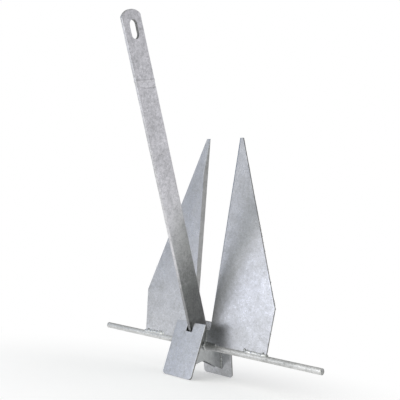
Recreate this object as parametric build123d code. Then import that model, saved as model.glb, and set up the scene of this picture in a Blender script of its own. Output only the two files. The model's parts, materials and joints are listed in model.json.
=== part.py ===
from build123d import *
import math
import os

# A pivoting-fluke boat anchor, welded from plate and bar. Millimetres, +Z up.
# The parts are built about the stock's axis: X runs along the stock, the flukes stand in the XZ plane,
# and the shank leans towards -Y onto the front palm. They are moved onto the ground at the end.

# Bought stock sizes
bar_diameter = 16
shank_width = 60
shank_thickness = 8
crown_plate = 5
fluke_plate = 4

# Shank, measured from the pivot
shank_reach = 874
head_radius = 40
head_corner = 6
eye_length = 46
eye_width = 24
eye_margin = 24
shank_edge = 1.0
pivot_clearance = 0.08
shank_lean = 26.5

# Stock
stock_length = 750
stock_end_chamfer = 0.8

# Palms, the two splayed crown plates
palm_width = 100
palm_splay = 14
palm_standoff = 58
palm_top = 46.5
palm_bottom = -96.5
palm_corner = 9
palm_top_corner = 2.5
notch_width = 20
notch_corner = 2.5
stop_gap = 0.1
plate_edge = 0.8

# Cheeks, the plates that tie the palms to the stock
cheek_gap = 20
cheek_top = 44.5
cheek_foot = -61
cheek_apex = -37
cheek_apex_radius = 25
cheek_hole_clearance = 0.5

# Flukes
fluke_height = 555
fluke_tip_width = 12
fluke_tip_inner = 52
fluke_root_inner = 20.4
fluke_shoulder_x = 224.5
fluke_shoulder_z = 124
fluke_shoulder_radius = 24
fluke_base_outer = 213
tongue_top = 43.5
flange_depth = 20
flange_start = 50
flange_taper_start = 454
fold_radius = 5
fold_inner_radius = 1.5

# Weld beads
outer_weld_length = 58
outer_weld_radius = 7.5
root_weld_length = 26
root_weld_radius = 6.5
cheek_weld_radius = 4.6
palm_weld_radius = 4.6
ring_weld_radius = 4

bar_radius = bar_diameter / 2
cheek_inner = cheek_gap / 2
cheek_outer = cheek_inner + crown_plate
fold_angle = math.degrees(math.atan((fluke_tip_inner - fluke_root_inner) / fluke_height))
stop_angle = math.radians(palm_splay + shank_lean)
notch_floor = (
    palm_standoff * math.cos(stop_angle) - shank_width / 2 - stop_gap
) / math.sin(stop_angle)

# The plane of the rear palm's inner face: local X along the stock, local Z outwards
splay = math.radians(palm_splay)
palm_normal = Vector(0, math.cos(splay), math.sin(splay))
palm_plane = Plane(origin=palm_normal * palm_standoff, x_dir=(-1, 0, 0), z_dir=palm_normal)


def polygon(points):
    """A flat face inside a closed run of straight edges."""
    return make_face(Polyline(*points, close=True))


def eased(solid, axis, radius):
    """Round the outline of the two broad faces that axis runs through."""
    faces = solid.faces().sort_by(axis)
    rims = faces[0].outer_wire().edges() + faces[-1].outer_wire().edges()
    return fillet(rims, radius)


def capsule(start, end, radius):
    """A round-ended bar, the raw form of a weld bead."""
    run = Vector(*end) - Vector(*start)
    bar = Plane(origin=start, z_dir=run) * extrude(Circle(radius), run.length)
    return bar + Pos(*start) * Sphere(radius) + Pos(*end) * Sphere(radius)


def right_of_cheek(solid):
    """What lies beyond the right cheek's outer face."""
    side = shank_width * 4
    return solid & (Pos(cheek_outer + side / 2, 0, 0) * Box(side, side, side))


def palm_face_y(z):
    """How far out the rear palm's inner face is at height z."""
    return (palm_standoff - z * math.sin(splay)) / math.cos(splay)


def fluke_inner_x(z):
    """Where the fold line along a fluke's inner edge is at height z."""
    return fluke_root_inner + z * math.tan(math.radians(fold_angle))


def make_shank():
    """Flat bar with a round foot, an arched head, a pivot hole and an obround shackle eye."""
    head_base = shank_reach - head_radius
    bar = Pos(0, shank_reach / 2) * Rectangle(shank_width, shank_reach)
    arch = Pos(0, head_base) * Circle(head_radius)
    below_arch = Pos(0, head_base / 2) * Rectangle(shank_width, head_base)
    outline = (bar & arch) + below_arch
    outline = fillet(outline.vertices().group_by(Axis.Y)[-1], head_corner)
    outline += Circle(shank_width / 2)
    blank = eased(extrude(outline, shank_thickness / 2, both=True), Axis.Z, shank_edge)
    eye_height = shank_reach - eye_margin - eye_length / 2
    eye = Pos(0, eye_height) * SlotOverall(eye_length, eye_width, rotation=90)
    hole = Circle(bar_radius + pivot_clearance)
    blank -= extrude(eye + hole, shank_thickness, both=True)
    return Rot(X=shank_lean) * (Plane.YZ * blank)


def make_stock():
    """Plain round bar with cut ends."""
    bar = Rot(Y=90) * Cylinder(bar_radius, stock_length)
    return chamfer(bar.edges().filter_by(GeomType.CIRCLE), stock_end_chamfer)


def make_palm():
    """Rear crown plate, with the notch that stops the shank in its top edge."""
    height = palm_top - palm_bottom
    outline = Pos(0, (palm_top + palm_bottom) / 2) * Rectangle(palm_width, height)
    outline = fillet(outline.vertices().group_by(Axis.Y)[0], palm_corner)
    outline = fillet(outline.vertices().group_by(Axis.Y)[-1], palm_top_corner)
    depth = palm_top - notch_floor
    notch = Pos(0, notch_floor + depth) * Rectangle(notch_width, depth * 2)
    notch = fillet(notch.vertices().group_by(Axis.Y)[0], notch_corner)
    plate = extrude(outline - notch, crown_plate)
    return palm_plane * eased(plate, Axis.Z, plate_edge)


def make_cheek():
    """Right cheek: spans the palms, arched below, bored for the stock."""
    top_y = palm_face_y(cheek_top)
    foot_y = palm_face_y(cheek_foot)
    outline = polygon(
        [
            (-top_y, cheek_top),
            (top_y, cheek_top),
            (foot_y, cheek_foot),
            (0, cheek_apex),
            (-foot_y, cheek_foot),
        ]
    )
    apex = outline.vertices().sort_by_distance((0, cheek_apex))[0]
    outline = fillet(apex, cheek_apex_radius)
    outline -= Circle(bar_radius + cheek_hole_clearance)
    return Pos(cheek_inner, 0, 0) * (Plane.YZ * extrude(outline, crown_plate))


def make_flange():
    """The folded strip along the right fluke's inner edge, turned to the rear and tapered to the tip."""
    half = fluke_plate / 2
    free_edge = flange_depth - half
    leg = Pos(half, (free_edge - half) / 2) * Rectangle(fluke_plate, flange_depth)
    web = Pos(fold_radius, 0) * Rectangle(fold_radius * 2, fluke_plate)
    section = leg + web
    outer_corner = section.vertices().sort_by_distance((0, -half))[0]
    section = fillet(outer_corner, fold_radius)
    inner_corner = section.vertices().sort_by_distance((fluke_plate, half))[0]
    section = fillet(inner_corner, fold_inner_radius)
    strip = Pos(fluke_root_inner, 0, 0) * Rot(Y=fold_angle) * extrude(section, fluke_height * 1.1)
    height = fluke_height - flange_start
    strip &= Pos(0, 0, flange_start + height / 2) * Box(fluke_height, fluke_height, height)
    taper = polygon(
        [
            (free_edge, flange_taper_start),
            (half, fluke_height),
            (flange_depth * 2, fluke_height * 1.1),
            (flange_depth * 2, flange_taper_start),
        ]
    )
    return strip - Plane.YZ * extrude(taper, fluke_height)


def make_fluke(stock):
    """Right fluke: a pointed plate whose base sits on the stock and whose root butts against the cheek."""
    seam = fold_radius * 1.5
    outline = polygon(
        [
            (cheek_outer, 0),
            (cheek_outer, tongue_top),
            (fluke_inner_x(tongue_top), tongue_top),
            (fluke_inner_x(flange_start), flange_start),
            (fluke_inner_x(flange_start) + seam, flange_start),
            (fluke_tip_inner + seam, fluke_height),
            (fluke_tip_inner + fluke_tip_width, fluke_height),
            (fluke_shoulder_x, fluke_shoulder_z),
            (fluke_base_outer, bar_radius),
            (fluke_base_outer, 0),
        ]
    )
    shoulder = outline.vertices().sort_by_distance((fluke_shoulder_x, fluke_shoulder_z))[0]
    outline = fillet(shoulder, fluke_shoulder_radius)
    blank = Plane.XZ * extrude(outline, fluke_plate / 2, both=True)
    return blank + make_flange() - stock


def make_outer_weld(stock, fluke):
    """Both beads at the outer end of the right fluke's base, which run round its corner."""
    end = fluke_base_outer - bar_radius / 2
    raw = capsule((end - outer_weld_length, 0, bar_radius), (end, 0, bar_radius), outer_weld_radius)
    return raw - stock - fluke


def make_root_weld(stock, fluke):
    """The beads that tie the right fluke's root to the stock and up the cheek."""
    start = cheek_outer + root_weld_radius
    run = capsule((start, 0, bar_radius), (start + root_weld_length, 0, bar_radius), root_weld_radius)
    upright = capsule(
        (cheek_outer, 0, bar_radius + cheek_weld_radius),
        (cheek_outer, 0, tongue_top - cheek_weld_radius),
        cheek_weld_radius,
    )
    return right_of_cheek(run + upright) - stock - fluke


def make_ring_weld(stock, fluke, root_weld):
    """The bead round the stock on the right cheek's outer face."""
    ring = Pos(cheek_outer, 0, 0) * Rot(Y=90) * Torus(bar_radius, ring_weld_radius)
    return right_of_cheek(ring) - stock - fluke - root_weld


def make_palm_weld(palm):
    """The bead in the corner between the right cheek and the rear palm."""
    up = Vector(0, -math.sin(splay), math.cos(splay))
    corner = Vector(cheek_outer, 0, 0) + palm_normal * palm_standoff
    low = (cheek_foot - corner.Z) / up.Z + palm_weld_radius
    high = (cheek_top - corner.Z) / up.Z - palm_weld_radius
    raw = capsule(tuple(corner + up * low), tuple(corner + up * high), palm_weld_radius)
    return right_of_cheek(raw) - palm


def turned(solid):
    """The same solid, half a turn round the anchor's upright axis."""
    return Rot(Z=180) * solid


stock = make_stock()
rear_palm = make_palm()
right_cheek = make_cheek()
right_fluke = make_fluke(stock)
root_weld = make_root_weld(stock, right_fluke)
ring_weld = make_ring_weld(stock, right_fluke, root_weld)
outer_weld = make_outer_weld(stock, right_fluke)
palm_weld = make_palm_weld(rear_palm)
opposite_palm_weld = mirror(palm_weld, Plane.YZ)

parts = {
    "shank": make_shank(),
    "stock": stock,
    "right_fluke": right_fluke,
    "left_fluke": turned(right_fluke),
    "rear_palm": rear_palm,
    "front_palm": turned(rear_palm),
    "right_cheek": right_cheek,
    "left_cheek": turned(right_cheek),
    "right_fluke_outer_weld": outer_weld,
    "left_fluke_outer_weld": turned(outer_weld),
    "right_fluke_root_weld": root_weld,
    "left_fluke_root_weld": turned(root_weld),
    "right_stock_weld": ring_weld,
    "left_stock_weld": turned(ring_weld),
    "rear_palm_right_weld": palm_weld,
    "rear_palm_left_weld": opposite_palm_weld,
    "front_palm_left_weld": turned(palm_weld),
    "front_palm_right_weld": turned(opposite_palm_weld),
}

# Stand the anchor on the palms' lower edges, with the ground's origin under the middle of its box
box = Compound(children=[Compound(solid.solids()) for solid in parts.values()]).bounding_box()
pivot = Vector(-box.center().X, -box.center().Y, -box.min.Z)
print("pivot", pivot, "size", box.size)
print("notch floor", notch_floor, "fold angle", fold_angle)

os.makedirs("parts", exist_ok=True)
for name, solid in parts.items():
    export_step(Pos(*pivot) * Compound(solid.solids()), f"parts/{name}.step")
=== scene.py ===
import json
import math
import random

import bmesh
import bpy
from mathutils import Matrix, Vector, noise


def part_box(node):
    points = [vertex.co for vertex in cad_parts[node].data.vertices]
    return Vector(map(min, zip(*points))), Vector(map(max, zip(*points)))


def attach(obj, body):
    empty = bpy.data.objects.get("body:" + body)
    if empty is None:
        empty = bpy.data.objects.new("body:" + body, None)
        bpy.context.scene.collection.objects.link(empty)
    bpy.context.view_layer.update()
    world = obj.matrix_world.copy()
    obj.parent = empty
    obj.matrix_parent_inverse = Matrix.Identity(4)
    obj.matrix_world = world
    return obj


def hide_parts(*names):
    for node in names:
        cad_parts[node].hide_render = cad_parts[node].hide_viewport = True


# A galvanised pivoting-fluke boat anchor, standing on its crown plates. Metres, in the CAD's own frame.

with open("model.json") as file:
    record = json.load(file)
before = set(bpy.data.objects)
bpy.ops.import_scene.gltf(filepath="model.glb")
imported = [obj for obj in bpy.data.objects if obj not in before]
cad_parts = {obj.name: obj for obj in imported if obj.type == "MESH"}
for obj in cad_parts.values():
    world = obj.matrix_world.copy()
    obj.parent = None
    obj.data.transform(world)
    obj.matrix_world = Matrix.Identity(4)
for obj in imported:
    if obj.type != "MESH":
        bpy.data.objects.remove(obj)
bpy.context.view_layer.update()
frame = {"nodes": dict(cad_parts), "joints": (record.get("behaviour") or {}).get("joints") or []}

MM = 0.001
X_AXIS = Vector((1, 0, 0))
Y_AXIS = Vector((0, 1, 0))
Z_AXIS = Vector((0, 0, 1))
PIVOT = Vector(frame["joints"][0]["pos_m"])
SIDES = (("right", 1), ("left", -1))
PALMS = (("rear", 1), ("front", -1))

# Sizes of the CAD that the looks are worked out from
BAR_RADIUS = 8 * MM
FLUKE_HALF = 2 * MM
SHANK_HALF = 30 * MM
SPLAY = math.radians(14)
PALM_STANDOFF = 58 * MM
SHANK_LEAN = math.radians(26.5)
FLUKE_HEIGHT = 555 * MM
FOLD_AT_STOCK = 20.4 * MM
FOLD_AT_TIP = 52 * MM

# The ways along and across the shank, the pivot's place along it, the tilt of a fold, and the stock's middle
SHANK_UP = Vector((0, -math.sin(SHANK_LEAN), math.cos(SHANK_LEAN)))
SHANK_ACROSS = Vector((0, math.cos(SHANK_LEAN), math.sin(SHANK_LEAN)))
SHANK_PIVOT = PIVOT.dot(SHANK_UP)
FOLD_TILT = math.atan((FOLD_AT_TIP - FOLD_AT_STOCK) / FLUKE_HEIGHT)
STOCK_AXIS = Vector((0, PIVOT.y, PIVOT.z))
# A fluke is measured out from a plane along its flange, which is this far from the middle at the pivot's height
FOLD_FOOT = 15 * MM

# The zinc's relief: the heights of its long waves and short ripples, how fast each changes, and how much more
# of both a cut edge has
LONG_WAVE = 0.16 * MM
LONG_WAVE_SCALE = 24
SHORT_WAVE = 0.10 * MM
SHORT_WAVE_SCALE = 90
EDGE_WAVE = 2.5

# Where the relief starts and where it is full: out from the middle on the crown, out from the pivot on the
# shank, and out from the plane by the flange for what a fluke's cut edge adds
CROWN_CALM = (12 * MM, 26 * MM)
SHANK_CALM = (80 * MM, 140 * MM)
FOLD_CALM = (6 * MM, 12 * MM)

# Ridges (+) and grooves (-) across the shank: reach from the pivot, slope, bow at the edges, height, width
BATH_LINES = (
    (705 * MM, -0.12, 0 * MM, 0.60 * MM, 2.2 * MM),
    (688 * MM, -0.24, 5 * MM, -0.65 * MM, 1.9 * MM),
    (560 * MM, -0.20, 0 * MM, 0.18 * MM, 1.4 * MM),
    (523 * MM, -0.08, 0 * MM, -0.45 * MM, 1.3 * MM),
    (499 * MM, -0.24, 0 * MM, 0.18 * MM, 1.5 * MM),
    (380 * MM, -0.31, 0 * MM, 0.30 * MM, 2.0 * MM),
)
# How far they wander, how fast, and the spacing of the cuts that hold them, as a share of their width
BATH_WANDER = 1.5 * MM
BATH_WANDER_SCALE = 60
BATH_CUT_SHARE = 0.55

# Each zinc: the tints of its dark, middle and light mottles, and the roughness of the dark and the light ones
PLATE_ZINC = ((0.43, 0.435, 0.435), (0.56, 0.565, 0.585), (0.69, 0.70, 0.735), (0.34, 0.26))
# Painted shade: a darker copy of the zinc for the flukes' flanges and the stock's ends, which face away from
# the light
FLANGE_AND_END_PAINTED_SHADE_ZINC = ((0.29, 0.295, 0.28), (0.36, 0.365, 0.355), (0.45, 0.455, 0.45), (0.42, 0.34))
SHANK_ZINC = ((0.39, 0.39, 0.395), (0.58, 0.575, 0.59), (0.77, 0.76, 0.78), (0.40, 0.32))
STOCK_ZINC = ((0.44, 0.44, 0.435), (0.64, 0.64, 0.635), (0.81, 0.808, 0.80), (0.60, 0.45))
# Painted shade: a dark copy of the zinc for the wall inside the shackle eye
EYE_PAINTED_SHADE_ZINC = ((0.14, 0.14, 0.135), (0.20, 0.20, 0.195), (0.28, 0.28, 0.27), (0.50, 0.42))
# Painted shade: a dark copy of the zinc for the cut edges of flukes and palms, and for the tops of the outer
# welds' lumps and spatter
EDGE_AND_PIT_PAINTED_SHADE_ZINC = ((0.17, 0.17, 0.165), (0.26, 0.26, 0.255), (0.38, 0.38, 0.37), (0.50, 0.40))
# Painted shade: a darker copy of the zinc for the cheeks, which lie in the crown's shade
CHEEK_PAINTED_SHADE_ZINC = ((0.35, 0.36, 0.355), (0.44, 0.45, 0.45), (0.54, 0.55, 0.555), (0.40, 0.32))
WELD_ZINC = ((0.52, 0.53, 0.52), (0.68, 0.69, 0.685), (0.82, 0.82, 0.82), (0.42, 0.32))
# Painted shade: the cheeks' darker tints again, for the welds in the crown's corners
CORNER_WELD_PAINTED_SHADE_ZINC = (*CHEEK_PAINTED_SHADE_ZINC[:3], (0.42, 0.32))

# The parts of the mottle: how fine each is, and its share
GRAIN_SCALE = 380
GRAIN_SHARE = 0.50
BLOTCH_SCALE = 90
BLOTCH_SHARE = 0.18
CLOUD_SCALE = 22
CLOUD_SHARE = 0.23
CRYSTAL_SCALE = 190
CRYSTAL_SHARE = 0.09
# How fine the waver of the crystals' borders is and how far it reaches, both against a crystal's size
WAVER_SCALE = 1.5
WAVER_REACH = 0.6
# Where the three tints lie on the mottle, and how much of the dark tint is left at its bottom
DARK_AT = 0.36
MIDDLE_AT = 0.50
LIGHT_AT = 0.64
BOTTOM_SHARE = 0.45
# The bump of the zinc's skin: how fine its pits are, the shares of blotches and pits, its depth and strength
PIT_SCALE = 300
BUMP_BLOTCHES = 0.6
BUMP_PITS = 0.4
BUMP_DEPTH = 0.6 * MM
BUMP_STRENGTH = 0.4

# Towards the pivot, the shank's colour gets a little painted light and then painted shade: where, as distances
# from the pivot, and how far along the ramp of tints
PAINTED_LIGHT_FROM = 330 * MM
PAINTED_LIGHT_TO = 500 * MM
PAINTED_LIGHT_RISE = 0.085
PAINTED_SHADE_FROM = 120 * MM
PAINTED_SHADE_TO = 270 * MM
PAINTED_SHADE_DEPTH = 0.37

# The CAD's surface: points closer than this are one, and faces that turn by less than this are one
MERGE_DISTANCE = 0.002 * MM
FLAT_TURN = math.radians(0.1)
# Spacing of the cuts that let flat faces take relief. A cut runs through any point this close to it.
SHANK_GRID = 4 * MM
FLUKE_GRID = 4.5 * MM
CHEEK_GRID = 4 * MM
PALM_GRID = 3.5 * MM
CUT_SNAP = 0.01 * MM
# Edges that turn by more than this are eased by so much, if they are longer than this share of the spacing
SQUARE_TURN = math.radians(60)
PLATE_EASING = 0.6 * MM
SHORT_SHARE = 0.2
# Edges that turn by more than this are shaded sharp, on the plates and on the rest
SHARP_PLATE = math.radians(18)
SHARP_BEAD = math.radians(78)

# The shackle eye, along the shank from the pivot and across it, with a little to spare
EYE_FOOT = 800 * MM
EYE_HEAD = 853 * MM
EYE_HALF = 14 * MM

# Limits for picking out faces. A lean is how much of a face's normal lies along an axis.
FLANGE_LEAN = 0.8
FLANGE_REACH = 7 * MM
EYE_LEAN = 0.5
RIM_LEAN = 0.95
RIM_SLACK = 0.1 * MM
RIM_FROM_FOLD = 9 * MM
PALM_RIM_LEAN = 0.7
END_LEAN = 0.8
OUTER_EDGE_LEAN = 0.3
# Painted shade: up-facing faces of the outer welds' lumps and spatter above this height get the dark zinc, for
# the shade of the pits
PIT_SHADE_LEAN = 0.1
PIT_SHADE_ABOVE_BAR = 4.8 * MM

# Grains of zinc by the flukes' outer edges: the heights they lie between, how many on a fluke, how far in,
# their radii in millimetres, how they are drawn out, and how finely they are meshed
NODULES_FROM = 140 * MM
NODULES_TO = 420 * MM
NODULE_COUNT = 110
NODULE_BAND = 18 * MM
NODULE_RADII = (0.6, 1.8)
NODULE_STRETCH = (0.7, 1.5)
NODULE_DETAIL = 2
NODULE_SEED = 9

# How far grains and spatter stand out, as a share of their radius, and how lumpy drops are
FLATNESS = 0.45
DROP_LUMPINESS = 0.3
DROP_LUMP_SCALE = 350

# The stock's mesh
STOCK_SIDES = 40
STOCK_SPACING = 4 * MM
STOCK_CHAMFER = 0.8 * MM

# The weld beads' mesh. Rings smaller than this share of the bead are left out at its ends.
BEAD_SIDES = 24
BEAD_STEP = 0.7 * MM
SMALLEST_RING = 0.1
STOCK_WELD_STEPS = 72

# Their ripples: how they bow and wander, how fast they wander, how rounded they are, and their middle height
RIPPLE_BOW = 1.2 * MM
RIPPLE_WANDER = 0.8
RIPPLE_WANDER_SCALE = 70
RIPPLE_ROUNDNESS = 0.6
RIPPLE_MIDDLE = 0.7
LUMPINESS = 0.18
LUMP_SCALE = 130

# Their outlines: how much a round bead is flattened, and a corner bead's root, rise and shoulder
ROUND_FLATTENING = 0.08
CORNER_ROOT = 0.25
CORNER_RISE = 0.70
CORNER_SHOULDER = (0.30, 0.75)

# Weld runs: radius, pitch and height of the ripples. For the last two, the radius is a share of the CAD's.
OUTER_RUN = (4.3 * MM, 8 * MM, 0.3 * MM)
ROOT_RUN = (3.2 * MM, 6 * MM, 0.3 * MM)
CHEEK_RUN = (3.8 * MM, 6 * MM, 0.4 * MM)
STOCK_RUN = (1.1, 5 * MM, 0.9 * MM)
PALM_RUN = (0.95, 5.5 * MM, 1.6 * MM)
# A run on a fluke: how far out of its corner it sits, and how long its ends are, in radii
CORNER_SHARE = 0.35
FLUKE_RUN_TAPER = 2.5
# The runs on the stock sit this far inside its top. The run up the cheek ends this far below the CAD's.
STOCK_SINK = 1 * MM
STOCK_TOP = STOCK_AXIS + Z_AXIS * (BAR_RADIUS - STOCK_SINK)
CHEEK_RUN_SHORT = 3 * MM
# How far up a palm's run starts, in radii
PALM_RUN_RISE = 0.4

# Lumps on an outer weld: where along it, how far off that, height above the stock and radius in millimetres,
# and their stretch along the stock, out of the fluke and upwards
LUMP_PLACES = (0.02, 0.12, 0.21, 0.31, 0.40, 0.48, 0.80)
LUMP_SHIFT = 0.03
LUMP_HEIGHTS = (1.5, 4.0)
LUMP_RADII = (2.5, 3.7)
LUMP_WIDTHS = (0.8, 1.3)
LUMP_DEPTH = 0.75
LUMP_RISES = (0.9, 1.3)
# Spatter above it: how many drops on a face, where along the weld, height and radius in millimetres
SPATTER_COUNT = 9
SPATTER_PLACES = (-0.2, 0.95)
SPATTER_HEIGHTS = (9, 40)
SPATTER_RADII = (0.7, 1.3)
# Lumps round the stock by the cheek: degrees down from the top, how far off that, height above the stock,
# distance from the cheek, radius in millimetres, and stretch
RING_LUMP_TURNS = (15, 38, 62, 85)
RING_LUMP_SHIFT = 6
RING_LUMP_HEIGHT = 2.5 * MM
RING_LUMP_OUT = 2.0 * MM
RING_LUMP_RADII = (2.4, 3.4)
RING_LUMP_STRETCH = (0.9, 1, 1.2)
WELD_SEED = 5

# Camera, from the pivot, with its turns in degrees
CAMERA_FROM_PIVOT = Vector((1.27747, -1.45434, 0.21618))
CAMERA_YAW = 42.73
CAMERA_PITCH = 4.88
CAMERA_ROLL = 6.63
CAMERA_LENS = 65.17
CAMERA_SENSOR = 36
CAMERA_REACH = 60

# Soft lights of the studio: name, azimuth from the front, elevation, spread in degrees, colour, strength
STUDIO = (
    ("front_left", -70, 8, 38, (0.19, 0.84, 1.98), 0.14),
    ("front_half_left", -40, 8, 38, (1.11, 1.02, 0.87), 0.17),
    ("front", -10, 8, 38, (1.00, 1.00, 1.01), 1.46),
    ("front_right", 20, 8, 38, (1.03, 1.14, 0.83), 0.53),
    ("right_rear", 110, 8, 38, (0.90, 1.03, 1.07), 0.24),
    ("rear", 140, 8, 38, (1.00, 0.98, 1.02), 0.86),
    ("front_sky", -30, 45, 42, (0.99, 1.01, 0.99), 0.70),
    ("backdrop", -160, 15, 60, (1.00, 1.00, 1.00), 0.25),
    ("overhead", 0, 90, 70, (1.00, 1.00, 1.00), 0.60),
)

# Square soft boxes: name, azimuth, distance from the pivot, height, side, colour, watts
SOFT_BOXES = (
    ("low_box", -15, 1.6, 0.15, 0.5, (0.98, 0.99, 1.03), 1.80),
    ("low_box_left", -30, 1.6, 0.15, 0.5, (0.82, 0.92, 1.26), 0.37),
)
# They face a place this far above the pivot
AIM_HEIGHT = 0.25

# The floor's radius, how fast its tint changes, its two tints, its roughness, and its glow near and far
FLOOR_RADIUS = 12
FLOOR_SCALE = 3.0
FLOOR_DARK = (0.93, 0.93, 0.93)
FLOOR_LIGHT = (0.95, 0.95, 0.95)
FLOOR_ROUGHNESS = 0.9
FLOOR_GLOW = 0.34
FAR_GLOW = 1.0

# The floor fades to lit white behind the anchor: the way it does so, and where that starts and ends.
# All round, it fades to white for the camera only, which hides the horizon.
SWEEP_AZIMUTH = -137.3
SWEEP_FADE = (0.25, 1.5)
HORIZON_FADE = (0.10, 0.80)


def direction(azimuth, elevation):
    """Unit vector towards a light. Azimuth 0 is the front (-Y), 90 the right (+X)."""
    a = math.radians(azimuth)
    e = math.radians(elevation)
    return Vector((math.sin(a) * math.cos(e), -math.cos(a) * math.cos(e), math.sin(e)))


class Nodes:
    """Short calls for building a node tree."""

    def __init__(self, tree):
        self.tree = tree
        self.tree.nodes.clear()

    def add(self, kind, **settings):
        node = self.tree.nodes.new(kind)
        for name, value in settings.items():
            setattr(node, name, value)
        return node

    def put(self, socket, value):
        """Sets a socket, or links another one to it."""
        if isinstance(value, bpy.types.NodeSocket):
            self.tree.links.new(value, socket)
        else:
            socket.default_value = value

    def noise(self, vector, scale, detail=3.0, roughness=0.5):
        node = self.add("ShaderNodeTexNoise")
        self.put(node.inputs["Vector"], vector)
        self.put(node.inputs["Scale"], scale)
        self.put(node.inputs["Detail"], detail)
        self.put(node.inputs["Roughness"], roughness)
        return node.outputs["Fac"]

    def ranged(self, value, low, high, to_low=0.0, to_high=1.0, curve="SMOOTHSTEP"):
        """A value taken from one range to another, along a curve."""
        node = self.add("ShaderNodeMapRange", interpolation_type=curve)
        self.put(node.inputs["Value"], value)
        self.put(node.inputs["From Min"], low)
        self.put(node.inputs["From Max"], high)
        self.put(node.inputs["To Min"], to_low)
        self.put(node.inputs["To Max"], to_high)
        return node.outputs["Result"]

    def math(self, operation, a, b):
        node = self.add("ShaderNodeMath", operation=operation)
        self.put(node.inputs[0], a)
        self.put(node.inputs[1], b)
        return node.outputs["Value"]

    def vector(self, operation, a, b, **settings):
        """The node of a sum or a product of two vectors."""
        node = self.add("ShaderNodeVectorMath", operation=operation, **settings)
        self.put(node.inputs[0], a)
        self.put(node.inputs[1], b)
        return node

    def total(self, *parts):
        """The sum of (value, weight) parts."""
        result = 0.0
        for value, weight in parts:
            node = self.add("ShaderNodeMath", operation="MULTIPLY_ADD")
            self.put(node.inputs[0], value)
            self.put(node.inputs[1], weight)
            self.put(node.inputs[2], result)
            result = node.outputs["Value"]
        return result

    def crystals(self, vector, scale):
        """A random level for each cell, with wavering borders."""
        waver = self.add("ShaderNodeTexNoise")
        self.put(waver.inputs["Vector"], vector)
        self.put(waver.inputs["Scale"], scale * WAVER_SCALE)
        moved = self.add("ShaderNodeVectorMath", operation="MULTIPLY_ADD")
        self.put(moved.inputs[0], waver.outputs["Color"])
        self.put(moved.inputs[1], Vector((1, 1, 1)) * WAVER_REACH / scale)
        self.put(moved.inputs[2], vector)
        cells = self.add("ShaderNodeTexVoronoi")
        self.put(cells.inputs["Vector"], moved.outputs["Vector"])
        self.put(cells.inputs["Scale"], scale)
        level = self.add("ShaderNodeSeparateColor")
        self.put(level.inputs["Color"], cells.outputs["Color"])
        return level.outputs["Red"]

    def ramp(self, value, *stops):
        """A colour ramp through (position, colour) stops."""
        node = self.add("ShaderNodeValToRGB")
        elements = node.color_ramp.elements
        while len(elements) < len(stops):
            elements.new(0.5)
        for element, (position, colour) in zip(elements, stops):
            element.position = position
            element.color = (*colour, 1)
        self.put(node.inputs["Fac"], value)
        return node.outputs["Color"]

    def mix(self, share, one, two):
        """A mix of two shader nodes."""
        node = self.add("ShaderNodeMixShader")
        self.put(node.inputs[0], share)
        self.put(node.inputs[1], one.outputs[0])
        self.put(node.inputs[2], two.outputs[0])
        return node.outputs[0]


def make_world():
    """Plain white to the camera, and soft lobes of light for everything else."""
    world = bpy.data.worlds.new("studio")
    world.use_nodes = True
    n = Nodes(world.node_tree)
    towards = n.add("ShaderNodeTexCoord").outputs["Generated"]
    total = (0.0, 0.0, 0.0)
    for name, azimuth, elevation, spread, colour, strength in STUDIO:
        dot = n.vector("DOT_PRODUCT", towards, direction(azimuth, elevation), name=name)
        edge = math.cos(math.radians(spread))
        lobe = n.add("ShaderNodeVectorMath", operation="SCALE")
        n.put(lobe.inputs[0], colour)
        n.put(lobe.inputs["Scale"], n.ranged(dot.outputs["Value"], edge, 1.0, 0.0, strength))
        total = n.vector("ADD", total, lobe.outputs["Vector"]).outputs["Vector"]
    light = n.add("ShaderNodeBackground")
    n.put(light.inputs["Color"], total)
    white = n.add("ShaderNodeBackground")
    n.put(white.inputs["Color"], (1, 1, 1, 1))
    seen = n.add("ShaderNodeLightPath").outputs["Is Camera Ray"]
    n.put(n.add("ShaderNodeOutputWorld").inputs[0], n.mix(seen, light, white))
    bpy.context.scene.world = world


def make_soft_boxes():
    """Square area lights, which the camera doesn't see."""
    aim = PIVOT + Vector((0, 0, AIM_HEIGHT))
    for name, azimuth, distance, height, side, colour, power in SOFT_BOXES:
        data = bpy.data.lights.new(name, "AREA")
        data.size = side
        data.color = colour
        data.energy = power
        lamp = bpy.data.objects.new(name, data)
        bpy.context.scene.collection.objects.link(lamp)
        place = PIVOT + direction(azimuth, 0) * distance
        place.z = height
        turn = (aim - place).to_track_quat("-Z", "Y").to_matrix().to_4x4()
        lamp.matrix_world = Matrix.Translation(place) @ turn
        lamp.visible_camera = False


def floor_fade(n, place):
    """How far the floor has faded to white: behind the anchor, and all round for the camera."""
    away = n.vector("DOT_PRODUCT", place, direction(SWEEP_AZIMUTH, 0)).outputs["Value"]
    distance = n.add("ShaderNodeVectorMath", operation="LENGTH")
    n.put(distance.inputs[0], place)
    horizon = n.ranged(distance.outputs["Value"], *HORIZON_FADE)
    seen = n.add("ShaderNodeLightPath").outputs["Is Camera Ray"]
    return n.math("MAXIMUM", n.ranged(away, *SWEEP_FADE), n.math("MULTIPLY", horizon, seen))


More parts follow.
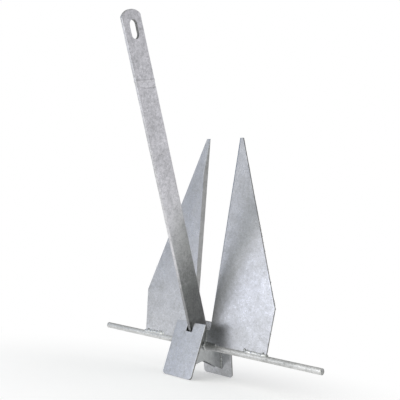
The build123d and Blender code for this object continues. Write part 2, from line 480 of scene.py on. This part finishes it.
def make_floor():
    """Plain pale floor."""
    bm = bmesh.new()
    bmesh.ops.create_circle(bm, cap_ends=True, segments=64, radius=FLOOR_RADIUS)
    floor = link("floor", bm)
    material = bpy.data.materials.new("pale_floor")
    material.use_nodes = True
    n = Nodes(material.node_tree)
    place = n.add("ShaderNodeTexCoord").outputs["Object"]
    shader = n.add("ShaderNodeBsdfPrincipled")
    tint = n.ramp(n.noise(place, FLOOR_SCALE), (0.3, FLOOR_DARK), (0.7, FLOOR_LIGHT))
    n.put(shader.inputs["Base Color"], tint)
    n.put(shader.inputs["Roughness"], FLOOR_ROUGHNESS)
    n.put(shader.inputs["Specular IOR Level"], 0.0)
    n.put(shader.inputs["Emission Color"], (1, 1, 1, 1))
    n.put(shader.inputs["Emission Strength"], FLOOR_GLOW)
    glow = n.add("ShaderNodeEmission")
    n.put(glow.inputs["Strength"], FAR_GLOW)
    faded = n.mix(floor_fade(n, place), shader, glow)
    n.put(n.add("ShaderNodeOutputMaterial").inputs["Surface"], faded)
    floor.data.materials.append(material)


def make_camera():
    """The camera, as fitted to the photo."""
    data = bpy.data.cameras.new("camera")
    data.lens = CAMERA_LENS
    data.sensor_width = CAMERA_SENSOR
    data.clip_end = CAMERA_REACH
    camera = bpy.data.objects.new("camera", data)
    bpy.context.scene.collection.objects.link(camera)
    turn = (
        Matrix.Rotation(math.radians(CAMERA_YAW), 4, "Z")
        @ Matrix.Rotation(math.radians(90 + CAMERA_PITCH), 4, "X")
        @ Matrix.Rotation(math.radians(CAMERA_ROLL), 4, "Z")
    )
    camera.matrix_world = Matrix.Translation(PIVOT + CAMERA_FROM_PIVOT) @ turn
    bpy.context.scene.camera = camera


def link(name, bm):
    """Turns a bmesh into a shown object."""
    mesh = bpy.data.meshes.new(name)
    bm.to_mesh(mesh)
    bm.free()
    piece = bpy.data.objects.new(name, mesh)
    bpy.context.scene.collection.objects.link(piece)
    return piece


def shank_painted_light_and_shade(n, place):
    """Painted light on the shank's colour, and painted shade nearer the pivot, as parts of a total."""
    reach = n.vector("DOT_PRODUCT", place, SHANK_UP).outputs["Value"]
    painted_shade = n.ranged(reach, SHANK_PIVOT + PAINTED_SHADE_FROM, SHANK_PIVOT + PAINTED_SHADE_TO, -PAINTED_SHADE_DEPTH, 0.0)
    painted_light = n.ranged(reach, SHANK_PIVOT + PAINTED_LIGHT_FROM, SHANK_PIVOT + PAINTED_LIGHT_TO, PAINTED_LIGHT_RISE, 0.0)
    return (painted_shade, 1.0), (painted_light, 1.0)


def zinc_material(name, zinc, on_shank=False):
    """Hot-dip zinc: matt grey metal with a fine grain, a soft mottle, faint crystals and an uneven skin."""
    material = bpy.data.materials.new(name)
    material.use_nodes = True
    n = Nodes(material.node_tree)
    place = n.add("ShaderNodeTexCoord").outputs["Object"]
    grain = n.noise(place, GRAIN_SCALE, detail=4.0, roughness=0.7)
    blotch = n.noise(place, BLOTCH_SCALE, roughness=0.6)
    cloud = n.noise(place, CLOUD_SCALE)
    crystals = n.crystals(place, CRYSTAL_SCALE)
    mottle = n.total(
        (crystals, CRYSTAL_SHARE), (grain, GRAIN_SHARE), (blotch, BLOTCH_SHARE), (cloud, CLOUD_SHARE)
    )
    # On the shank, painted light and then painted shade towards the pivot are added to the mottle.
    level = n.total((mottle, 1.0), *shank_painted_light_and_shade(n, place)) if on_shank else mottle
    shader = n.add("ShaderNodeBsdfPrincipled")
    dark, middle, light, roughness = zinc
    bottom = tuple(channel * BOTTOM_SHARE for channel in dark)
    tint = n.ramp(level, (0.0, bottom), (DARK_AT, dark), (MIDDLE_AT, middle), (LIGHT_AT, light))
    n.put(shader.inputs["Base Color"], tint)
    n.put(shader.inputs["Metallic"], 1.0)
    n.put(shader.inputs["Roughness"], n.ranged(mottle, DARK_AT, LIGHT_AT, *roughness, curve="LINEAR"))
    bump = n.add("ShaderNodeBump")
    pits = n.noise(place, PIT_SCALE, detail=2.0)
    n.put(bump.inputs["Height"], n.total((blotch, BUMP_BLOTCHES), (pits, BUMP_PITS)))
    n.put(bump.inputs["Distance"], BUMP_DEPTH)
    n.put(bump.inputs["Strength"], BUMP_STRENGTH)
    n.put(shader.inputs["Normal"], bump.outputs["Normal"])
    n.put(n.add("ShaderNodeOutputMaterial").inputs["Surface"], shader.outputs[0])
    return material


def cad_surface(node):
    """A clean copy of a CAD node's surface, with each flat face whole."""
    bm = bmesh.new()
    bm.from_mesh(frame["nodes"][node].data)
    bmesh.ops.remove_doubles(bm, verts=bm.verts, dist=MERGE_DISTANCE)
    bmesh.ops.dissolve_limit(bm, angle_limit=FLAT_TURN, verts=bm.verts, edges=bm.edges)
    return bm


def soften_edges(bm, width, shortest):
    """Rounds the square edges a little, as the zinc does."""
    square = []
    for edge in bm.edges:
        if edge.is_manifold and edge.is_convex and edge.calc_length() > shortest:
            if edge.calc_face_angle() > SQUARE_TURN:
                square.append(edge)
    bmesh.ops.bevel(
        bm, geom=square, offset=width, segments=2, profile=0.5, affect="EDGES", clamp_overlap=True
    )


def cut_across(bm, axis, places):
    """Cuts the mesh with planes square to an axis, so that its flat faces can take relief."""
    for place in places:
        everything = bm.verts[:] + bm.edges[:] + bm.faces[:]
        bmesh.ops.bisect_plane(bm, geom=everything, dist=CUT_SNAP, plane_co=axis * place, plane_no=axis)


def even_steps(bm, axis, spacing):
    """Evenly spaced places between the mesh's two ends along an axis."""
    along = [v.co.dot(axis) for v in bm.verts]
    count = max(1, round((max(along) - min(along)) / spacing))
    step = (max(along) - min(along)) / count
    return [min(along) + step * i for i in range(1, count)]


def zinc_relief(point):
    """How far the zinc stands out at a point: long waves under short ripples."""
    long_wave = LONG_WAVE * noise.noise(point * LONG_WAVE_SCALE)
    return long_wave + SHORT_WAVE * noise.noise(point * SHORT_WAVE_SCALE)


def smooth(value, low, high):
    """0 below low, 1 above high, and a smooth step between."""
    t = min(1.0, max(0.0, (value - low) / (high - low)))
    return t * t * (3 - 2 * t)


def raise_zinc(bm, edge_share, calm, extra=None):
    """Moves the surface in and out by the zinc's relief, more on the cut edges than on the broad faces."""
    bm.normal_update()
    moves = []
    for vert in bm.verts:
        lift = zinc_relief(vert.co) * (1 + EDGE_WAVE * edge_share(vert)) * calm(vert.co)
        if extra:
            lift += extra(vert.co)
        moves.append(vert.normal * lift)
    for vert, move in zip(bm.verts, moves):
        vert.co += move
        vert.co.z = max(vert.co.z, 0)


def finish_piece(piece, node, body, material, sharp):
    """Shades a piece, and makes it stand for its CAD node."""
    mesh = piece.data
    mesh.shade_smooth()
    mesh.set_sharp_from_angle(angle=sharp)
    mesh.materials.append(material)
    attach(piece, body)
    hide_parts(node)


def calm_crown(point):
    """No relief close to the shank, which slides between the cheeks and in the palms' notches."""
    return smooth(abs(point.x), *CROWN_CALM)


def calm_shank(point):
    """No relief round the pivot, or where the shank's edges meet the palms."""
    return smooth((point - PIVOT).length, *SHANK_CALM)


def bath_lines(point):
    """Low ridges and grooves across the shank, where the zinc froze as it left the bath."""
    reach = (point - PIVOT).dot(SHANK_UP)
    across = (point - PIVOT).dot(SHANK_ACROSS)
    wander = BATH_WANDER * noise.noise(point * BATH_WANDER_SCALE)
    total = 0
    for place, slope, bow, height, width in BATH_LINES:
        line = place + slope * across + bow * (across / SHANK_HALF) ** 2
        away = reach - line - wander
        total += height * math.exp(-((away / width) ** 2))
    return total


def bath_line_cuts():
    """Places to cut the shank's mesh across, close enough to hold the bath lines."""
    cuts = []
    for place, slope, bow, _, width in BATH_LINES:
        span = abs(slope) * SHANK_HALF + 2 * width
        count = math.ceil((2 * span + bow) / (BATH_CUT_SHARE * width))
        for i in range(count + 1):
            cuts.append((SHANK_UP, SHANK_PIVOT + place - span + i * BATH_CUT_SHARE * width))
    return cuts


def flat_plate_edge(thickness_axis):
    """How much a point of a flat plate is on its cut edge, from 0 to 1."""
    return lambda vert: 1 - abs(vert.normal.dot(thickness_axis))


def from_fold(point):
    """How far out a point of a fluke is from the plane by its flange."""
    return abs(point.x) * math.cos(FOLD_TILT) - (point.z - PIVOT.z) * math.sin(FOLD_TILT) - FOLD_FOOT


def fluke_edge(vert):
    """How much a point of a fluke is on its cut edge. The fold and the flange aren't."""
    return (1 - abs(vert.normal.y)) * smooth(from_fold(vert.co), *FOLD_CALM)


def is_flange(face):
    """True for the side of a fluke's folded strip that faces the shank."""
    return abs(face.normal.x) > FLANGE_LEAN and abs(from_fold(face.center)) < FLANGE_REACH


def is_in_eye(face):
    """True for the wall of the shackle eye."""
    reach = (face.center - PIVOT).dot(SHANK_UP)
    across = (face.center - PIVOT).dot(SHANK_ACROSS)
    near_eye = EYE_FOOT < reach < EYE_HEAD and abs(across) < EYE_HALF
    return near_eye and abs(face.normal.x) < EYE_LEAN


def is_fluke_rim(face):
    """True for a fluke's cut edge."""
    within = abs(face.center.y - PIVOT.y) < FLUKE_HALF + RIM_SLACK
    return within and abs(face.normal.y) < RIM_LEAN and from_fold(face.center) > RIM_FROM_FOLD


def is_end(face):
    """True for the stock's ends."""
    return abs(face.normal.x) > END_LEAN


def is_painted_pit_shade(face):
    """True for the tops of the lumps and spatter on an outer weld, which get painted pit shade."""
    return face.normal.z > PIT_SHADE_LEAN and face.center.z > PIVOT.z + BAR_RADIUS + PIT_SHADE_ABOVE_BAR


def give_faces(piece, material, test):
    """Gives another material to the faces that pass a test."""
    piece.data.materials.append(material)
    for face in piece.data.polygons:
        if test(face):
            face.material_index = len(piece.data.materials) - 1


def is_by_nodules(vert):
    """True for a point of a fluke's outer edge at the heights where grains of zinc lie."""
    outward = vert.normal.x * math.copysign(1, vert.co.x)
    on_edge = outward > OUTER_EDGE_LEAN and from_fold(vert.co) > NODULE_BAND
    return on_edge and NODULES_FROM < vert.co.z < NODULES_TO


def fluke_nodules(bm, dice):
    """Grains of zinc beside a fluke's outer edge, on both faces."""
    rim = [vert.co.copy() for vert in bm.verts if is_by_nodules(vert)]
    drops = []
    for _ in range(NODULE_COUNT):
        place = dice.choice(rim)
        place = place - X_AXIS * math.copysign(dice.uniform(0, 1) ** 2 * NODULE_BAND, place.x)
        place.y = PIVOT.y + dice.choice((-1, 1)) * FLUKE_HALF
        stretch = Vector((dice.uniform(*NODULE_STRETCH), FLATNESS, dice.uniform(*NODULE_STRETCH)))
        drops.append((place, dice.uniform(*NODULE_RADII) * MM, stretch))
    return drops


def make_plate(
    node, body, axes, spacing, material, edge_share, calm, extra=None, places=(), easing=0, dice=None
):
    """A CAD plate again, cut across its axes, with the zinc's relief on it.

    Extra adds to the relief, places are more cuts, easing rounds its square edges, and dice give it nodules.
    """
    bm = cad_surface(node)
    for axis in axes:
        cut_across(bm, axis, even_steps(bm, axis, spacing))
    for axis, place in places:
        cut_across(bm, axis, [place])
    raise_zinc(bm, edge_share, calm, extra)
    nodules = fluke_nodules(bm, dice) if dice else ()
    if easing:
        soften_edges(bm, easing, spacing * SHORT_SHARE)
    for place, radius, stretch in nodules:
        add_drop(bm, place, radius, stretch, NODULE_DETAIL)
    piece = link(node + "_skin", bm)
    finish_piece(piece, node, body, material, SHARP_PLATE)
    return piece


def make_shank(material, eye):
    """The shank: flat bar with bath lines across it, and its eye's wall painted dark as painted shade."""
    shank = make_plate(
        "shank",
        "shank",
        (SHANK_UP, SHANK_ACROSS),
        SHANK_GRID,
        material,
        flat_plate_edge(X_AXIS),
        calm_shank,
        extra=bath_lines,
        places=bath_line_cuts(),
    )
    # Painted shade: the eye's wall gets the dark zinc.
    give_faces(shank, eye, is_in_eye)


def make_fluke(side, sign, material, flange, rim, dice):
    """A fluke: a pointed plate with a folded flange and cut edges, both painted darker as painted shade, and
    grains of zinc.
    """
    along_flange = Vector((sign * math.cos(FOLD_TILT), 0, -math.sin(FOLD_TILT)))
    fluke = make_plate(
        side + "_fluke",
        "crown",
        (along_flange, Z_AXIS, Y_AXIS),
        FLUKE_GRID,
        material,
        fluke_edge,
        calm_crown,
        easing=PLATE_EASING,
        dice=dice,
    )
    # Painted shade: the flange gets the darker zinc.
    give_faces(fluke, flange, is_flange)
    # Painted shade: the cut edge gets the dark zinc.
    give_faces(fluke, rim, is_fluke_rim)


def make_cheek(side, material):
    """A cheek, the plate that ties the palms to the stock on one side of the shank."""
    # Painted shade: the cheek gets the darker zinc.
    make_plate(
        side + "_cheek",
        "crown",
        (Y_AXIS, Z_AXIS),
        CHEEK_GRID,
        material,
        flat_plate_edge(X_AXIS),
        calm_crown,
        easing=PLATE_EASING,
    )


def make_palm(palm, facing, material, rim):
    """A palm, a splayed crown plate, with its cut edges painted dark as painted shade."""
    outward = Vector((0, facing * math.cos(SPLAY), math.sin(SPLAY)))
    up = Vector((0, -facing * math.sin(SPLAY), math.cos(SPLAY)))
    edge_share = flat_plate_edge(outward)
    plate = make_plate(palm + "_palm", "crown", (X_AXIS, up), PALM_GRID, material, edge_share, calm_crown)
    # Painted shade: the cut edges get the dark zinc.
    give_faces(plate, rim, lambda face: abs(face.normal.dot(outward)) < PALM_RIM_LEAN)


def join_rings(bm, rings):
    """Skins a row of rings that have as many points each."""
    sides = len(rings[0])
    for one, two in zip(rings, rings[1:]):
        for i in range(sides):
            j = (i + 1) % sides
            bm.faces.new((one[i], one[j], two[j], two[i]))


def stock_ring(bm, x, radius):
    """A ring of points round the stock, moved by the zinc's relief."""
    ring = []
    for i in range(STOCK_SIDES):
        turn = i * math.tau / STOCK_SIDES
        outward = Vector((0, math.cos(turn), math.sin(turn)))
        point = Vector((x, PIVOT.y, PIVOT.z)) + outward * radius
        lift = zinc_relief(point) * smooth(abs(x), *CROWN_CALM)
        ring.append(bm.verts.new(point + outward * lift))
    return ring


def make_stock(material, end):
    """The stock: a round bar with chamfered ends painted dark as painted shade, and an uneven skin, but true
    where the shank turns.
    """
    low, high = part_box("stock")
    radius = (high.z - low.z) / 2
    bm = bmesh.new()
    count = round((high.x - low.x) / STOCK_SPACING)
    run = high.x - low.x - 2 * STOCK_CHAMFER
    rings = [stock_ring(bm, low.x, radius - STOCK_CHAMFER)]
    for i in range(count + 1):
        rings.append(stock_ring(bm, low.x + STOCK_CHAMFER + run * i / count, radius))
    rings.append(stock_ring(bm, high.x, radius - STOCK_CHAMFER))
    join_rings(bm, rings)
    bm.faces.new(reversed(rings[0]))
    bm.faces.new(rings[-1])
    bmesh.ops.recalc_face_normals(bm, faces=bm.faces)
    stock = link("stock_skin", bm)
    finish_piece(stock, "stock", "crown", material, SHARP_BEAD)
    # Painted shade: the stock's ends get the darker zinc.
    give_faces(stock, end, is_end)


def straight(start, end):
    """Points along a straight run."""
    count = max(2, round((end - start).length / BEAD_STEP))
    return [start.lerp(end, i / count) for i in range(count + 1)]


def round_section(angle):
    """Outline of a round bead, a little flatter on top, by the angle from its top."""
    return 1 - ROUND_FLATTENING * math.cos(angle)


def corner_section(angle):
    """Outline of a weld in a square corner, by the angle from the line that halves the corner."""
    return CORNER_ROOT + CORNER_RISE * smooth(math.cos(angle), *CORNER_SHOULDER)


def run_directions(route, i, crown):
    """The way to the top and to the side of a weld run, at a point of its route."""
    along = (route[min(i + 1, len(route) - 1)] - route[max(i - 1, 0)]).normalized()
    top = (crown - along * crown.dot(along)).normalized()
    return top, along.cross(top)


def bead_ring(bm, point, travelled, rounding, directions, run):
    """A ring of points round a weld run, so far along it, drawn in by its rounding."""
    top, side = directions
    radius, section, pitch, ripple = run
    wander = RIPPLE_WANDER * noise.noise(point * RIPPLE_WANDER_SCALE)
    ring = []
    for i in range(BEAD_SIDES):
        angle = (i / BEAD_SIDES - 0.5) * math.tau
        outward = top * math.cos(angle) + side * math.sin(angle)
        phase = (travelled - RIPPLE_BOW * angle * angle) / pitch + wander
        scale = abs(math.sin(math.pi * phase)) ** RIPPLE_ROUNDNESS
        lump = 1 + LUMPINESS * noise.noise((point + outward * radius) * LUMP_SCALE)
        reach = rounding * (radius * lump * section(angle) + ripple * (scale - RIPPLE_MIDDLE))
        ring.append(bm.verts.new(point + outward * reach))
    return ring


def close_end(bm, ring, tip):
    """Closes a ring to a point."""
    point = bm.verts.new(tip)
    for i in range(len(ring)):
        bm.faces.new((ring[i], ring[(i + 1) % len(ring)], point))


def add_bead(bm, route, radius, crown, section, pitch, ripple, taper=1.0):
    """A weld run along a route, with ripples bowed like scales. Its ends taper over so many radii."""
    run = (radius, section, pitch, ripple)
    total = sum((b - a).length for a, b in zip(route, route[1:]))
    travelled = 0
    rings = []
    for i, point in enumerate(route):
        travelled += (point - route[max(i - 1, 0)]).length
        from_end = min(travelled, total - travelled)
        rounding = math.sqrt(max(0.0, 1 - max(0.0, 1 - from_end / (radius * taper)) ** 2))
        if rounding >= SMALLEST_RING:
            rings.append(bead_ring(bm, point, travelled, rounding, run_directions(route, i, crown), run))
    join_rings(bm, rings)
    close_end(bm, rings[0], route[0])
    close_end(bm, rings[-1], route[-1])


def add_drop(bm, place, radius, stretch, detail=3):
    """A drop of weld metal or zinc, half sunk in what it sits on."""
    shape = Matrix.Translation(place) @ Matrix.Diagonal((*(radius * stretch), 1))
    made = bmesh.ops.create_icosphere(bm, subdivisions=detail, radius=1.0, matrix=shape)
    for vert in made["verts"]:
        out = vert.co - place
        vert.co = place + out * (1 + DROP_LUMPINESS * noise.noise(vert.co * DROP_LUMP_SCALE))


def make_bead(name, runs, material, drops=()):
    """One or more weld runs, and the drops beside them, as the piece that stands for a weld's CAD node."""
    bm = bmesh.new()
    for run in runs:
        add_bead(bm, *run)
    for place, radius, stretch in drops:
        add_drop(bm, place, radius, stretch)
    bmesh.ops.recalc_face_normals(bm, faces=bm.faces)
    piece = link(name + "_bead", bm)
    finish_piece(piece, name, "crown", material, SHARP_BEAD)
    return piece


def outer_drops(near, far, dice):
    """Lumps along the top of an outer weld on both faces of the fluke, and spatter above it."""
    drops = []
    for facing in (-1, 1):
        face = STOCK_AXIS + Y_AXIS * facing * FLUKE_HALF
        for share in LUMP_PLACES:
            x = near + (far - near) * (share + dice.uniform(-LUMP_SHIFT, LUMP_SHIFT))
            height = BAR_RADIUS + dice.uniform(*LUMP_HEIGHTS) * MM
            stretch = Vector((dice.uniform(*LUMP_WIDTHS), LUMP_DEPTH, dice.uniform(*LUMP_RISES)))
            drops.append((face + X_AXIS * x + Z_AXIS * height, dice.uniform(*LUMP_RADII) * MM, stretch))
        for _ in range(SPATTER_COUNT):
            x = near + (far - near) * dice.uniform(*SPATTER_PLACES)
            height = BAR_RADIUS + dice.uniform(*SPATTER_HEIGHTS) * MM
            stretch = Vector((1, FLATNESS, 1))
            drops.append((face + X_AXIS * x + Z_AXIS * height, dice.uniform(*SPATTER_RADII) * MM, stretch))
    return drops


def ring_drops(near, sign, dice):
    """Lumps where the stock's weld meets the fluke's, against the cheek."""
    drops = []
    for facing in (-1, 1):
        for angle in RING_LUMP_TURNS:
            turn = math.radians(angle + dice.uniform(-RING_LUMP_SHIFT, RING_LUMP_SHIFT))
            out = Vector((0, facing * math.sin(turn), math.cos(turn))) * (BAR_RADIUS + RING_LUMP_HEIGHT)
            place = STOCK_AXIS + out + X_AXIS * (near + sign * RING_LUMP_OUT)
            drops.append((place, dice.uniform(*RING_LUMP_RADII) * MM, Vector(RING_LUMP_STRETCH)))
    return drops


def fluke_beads(start, end, lift, radius, pitch, ripple):
    """Two runs, one on each face of a fluke, against what it stands on. Lift is the way out of that."""
    runs = []
    for facing in (-1, 1):
        corner = Y_AXIS * facing * (FLUKE_HALF + radius * CORNER_SHARE) + lift * radius * CORNER_SHARE
        route = straight(start + corner, end + corner)
        crown = lift + Y_AXIS * facing
        runs.append((route, radius, crown, round_section, pitch, ripple, FLUKE_RUN_TAPER))
    return runs


def weld_span(name):
    """The two ends of a weld's CAD node along the stock, with the one nearer the shank first."""
    low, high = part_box(name)
    return sorted((low.x, high.x), key=abs)


def make_outer_weld(side, material, pit_shade, dice):
    """The weld that holds a fluke's outer end on the stock. The tops of its lumps are painted dark, as painted
    shade of the pits between them.
    """
    name = side + "_fluke_outer_weld"
    near, far = weld_span(name)
    runs = fluke_beads(STOCK_TOP + X_AXIS * near, STOCK_TOP + X_AXIS * far, Z_AXIS, *OUTER_RUN)
    bead = make_bead(name, runs, material, outer_drops(near, far, dice))
    # Painted shade: the tops of the lumps and spatter get the dark zinc.
    give_faces(bead, pit_shade, is_painted_pit_shade)


def make_root_weld(side, sign, material):
    """The weld that holds a fluke's inner end on the stock and the cheek."""
    name = side + "_fluke_root_weld"
    near, far = weld_span(name)
    cheek_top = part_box(name)[1].z - CHEEK_RUN_SHORT
    foot = Vector((near, STOCK_AXIS.y, STOCK_AXIS.z + BAR_RADIUS))
    head = Vector((near, STOCK_AXIS.y, cheek_top))
    runs = fluke_beads(STOCK_TOP + X_AXIS * far, STOCK_TOP + X_AXIS * near, Z_AXIS, *ROOT_RUN)
    runs += fluke_beads(foot, head, X_AXIS * sign, *CHEEK_RUN)
    make_bead(name, runs, material)


def make_stock_weld(side, sign, material, dice):
    """The weld round the stock, against a cheek."""
    name = side + "_stock_weld"
    near, far = weld_span(name)
    turns = [i * math.tau / STOCK_WELD_STEPS for i in range(STOCK_WELD_STEPS + 1)]
    route = []
    for turn in turns:
        route.append(STOCK_AXIS + Vector((near, BAR_RADIUS * math.sin(turn), -BAR_RADIUS * math.cos(turn))))
    share, pitch, ripple = STOCK_RUN
    runs = [(route, abs(far - near) * share, X_AXIS * sign, corner_section, pitch, ripple)]
    make_bead(name, runs, material, ring_drops(near, sign, dice))


def palm_face_y(z, facing):
    """Where a palm's inner face is at height z."""
    rise = z - PIVOT.z
    return PIVOT.y + facing * (PALM_STANDOFF - rise * math.sin(SPLAY)) / math.cos(SPLAY)


def make_palm_weld(palm, facing, side, sign, material):
    """The weld down the corner between a palm and a cheek."""
    name = palm + "_palm_" + side + "_weld"
    low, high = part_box(name)
    near, far = weld_span(name)
    share, pitch, ripple = PALM_RUN
    radius = abs(far - near) * share
    ends = [Vector((near, palm_face_y(z, facing), z)) for z in (low.z + radius * PALM_RUN_RISE, high.z)]
    crown = Vector((sign, -facing, 0))
    make_bead(name, [(straight(*ends), radius, crown, corner_section, pitch, ripple)], material)


make_camera()
make_world()
make_soft_boxes()
make_floor()
bpy.context.scene.view_settings.view_transform = "Standard"

plate_zinc = zinc_material("plate_zinc", PLATE_ZINC)
# The shank's zinc carries painted light, and painted shade towards the pivot.
shank_zinc_painted_light_and_shade = zinc_material("shank_zinc_painted_light_and_shade", SHANK_ZINC, on_shank=True)
# Painted shade: darker zinc for the flanges and the stock's ends.
flange_and_end_painted_shade = zinc_material("flange_and_end_painted_shade", FLANGE_AND_END_PAINTED_SHADE_ZINC)
# Painted shade: dark zinc for the eye's wall.
eye_painted_shade = zinc_material("eye_painted_shade", EYE_PAINTED_SHADE_ZINC)
# Painted shade: darker zinc for the cheeks.
cheek_painted_shade = zinc_material("cheek_painted_shade", CHEEK_PAINTED_SHADE_ZINC)
stock_zinc = zinc_material("stock_zinc", STOCK_ZINC)
weld_zinc = zinc_material("weld_zinc", WELD_ZINC)
# Painted shade: the cheeks' darker tints for the welds in the crown's corners.
corner_weld_painted_shade = zinc_material("corner_weld_painted_shade", CORNER_WELD_PAINTED_SHADE_ZINC)
# Painted shade: dark zinc for cut edges and for the tops of weld lumps and spatter.
edge_and_pit_painted_shade = zinc_material("edge_and_pit_painted_shade", EDGE_AND_PIT_PAINTED_SHADE_ZINC)

make_shank(shank_zinc_painted_light_and_shade, eye_painted_shade)
nodule_dice = random.Random(NODULE_SEED)
for side, sign in SIDES:
    make_fluke(side, sign, plate_zinc, flange_and_end_painted_shade, edge_and_pit_painted_shade, nodule_dice)
    make_cheek(side, cheek_painted_shade)
for palm, facing in PALMS:
    make_palm(palm, facing, plate_zinc, edge_and_pit_painted_shade)
make_stock(stock_zinc, flange_and_end_painted_shade)

# The ten weld runs. Those in the crown's corners are painted darker, as painted shade in the corners.
weld_dice = random.Random(WELD_SEED)
for side, sign in SIDES:
    make_outer_weld(side, weld_zinc, edge_and_pit_painted_shade, weld_dice)
    make_root_weld(side, sign, corner_weld_painted_shade)
    make_stock_weld(side, sign, weld_zinc, weld_dice)
    for palm, facing in PALMS:
        make_palm_weld(palm, facing, side, sign, corner_weld_painted_shade)
